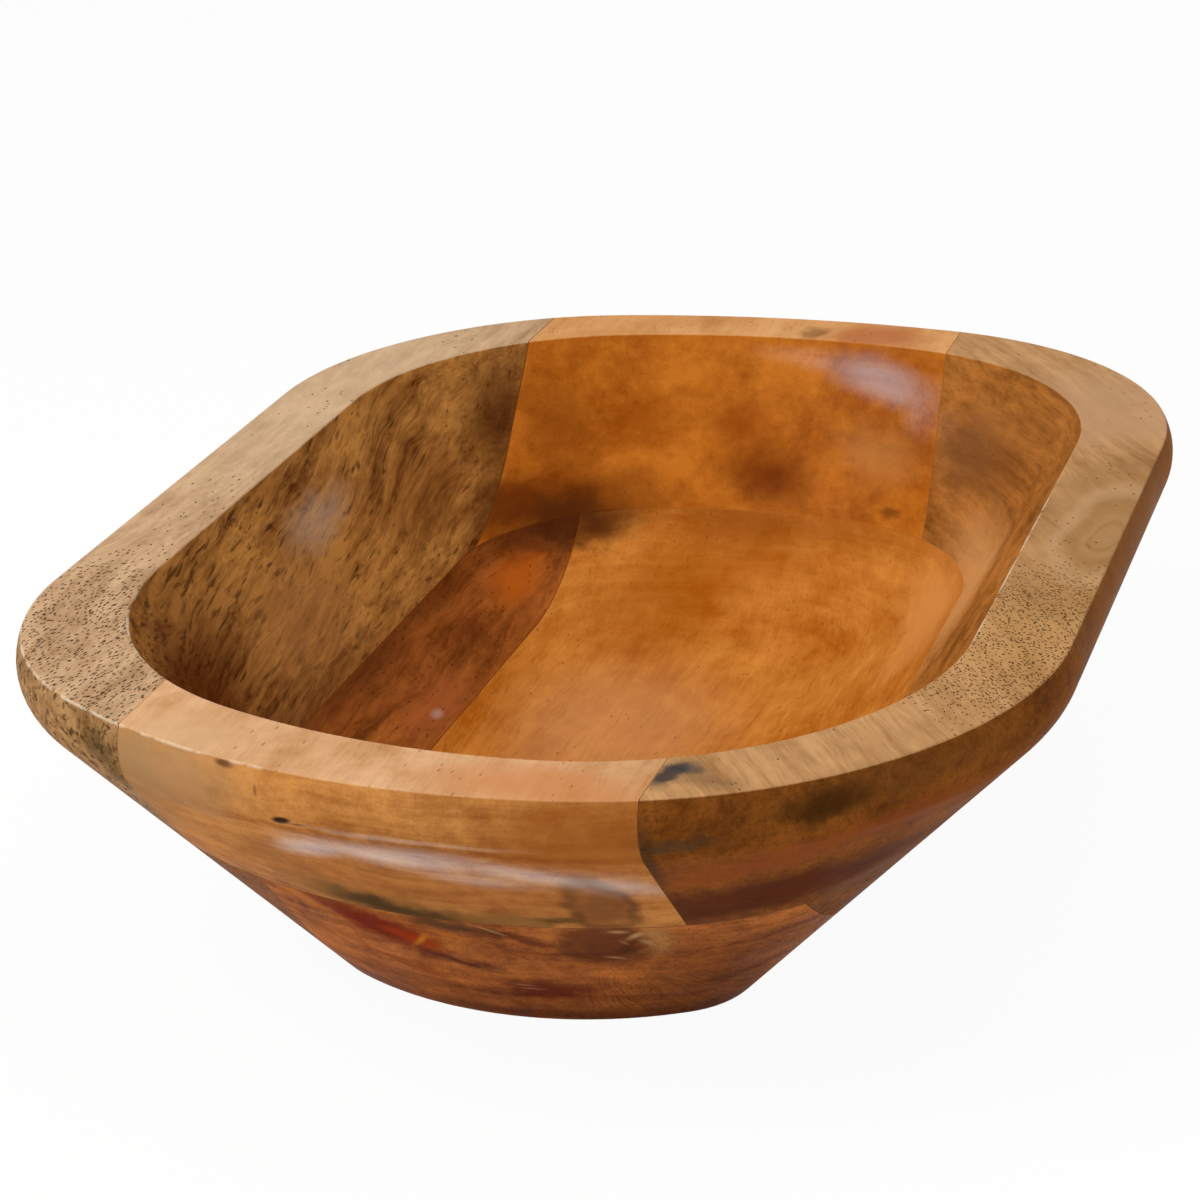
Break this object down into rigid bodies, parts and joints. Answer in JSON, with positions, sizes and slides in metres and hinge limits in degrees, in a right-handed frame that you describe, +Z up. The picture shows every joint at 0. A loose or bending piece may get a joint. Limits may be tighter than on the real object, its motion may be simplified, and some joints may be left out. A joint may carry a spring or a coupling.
{
  "type": "dough bowl",
  "caption": "Rounded oblong wooden dough bowl with flaring sides, a wide flat rim and a deep hollow, carved from glued-up hardwood boards.",
  "frame": {"origin": "middle of the flat underside", "axes": "+X along the length towards the back end, +Y to the left, +Z up"},
  "size_m": [0.306, 0.228, 0.0802],
  "materials": {
    "upper_left_board": "satin clear lacquer",
    "upper_right_board": "satin clear lacquer",
    "upper_front_block": "satin clear lacquer",
    "upper_back_block": "satin clear lacquer",
    "lower_left_board": "satin clear lacquer",
    "lower_middle_board": "satin clear lacquer",
    "lower_right_board": "satin clear lacquer",
    "wood_glue": "sanded flush"
  },
  "bodies": {
    "root": {"upper_left_board": "upper_left_board", "upper_right_board": "upper_right_board", "upper_front_block": "upper_front_block", "upper_back_block": "upper_back_block", "lower_left_board": "lower_left_board", "lower_middle_board": "lower_middle_board", "lower_right_board": "lower_right_board", "front_left_glue_line": "wood_glue", "front_right_glue_line": "wood_glue", "back_left_glue_line": "wood_glue", "back_right_glue_line": "wood_glue", "lower_left_glue_line": "wood_glue", "lower_right_glue_line": "wood_glue", "layer_glue_line": "wood_glue"}
  },
  "joints": []
}
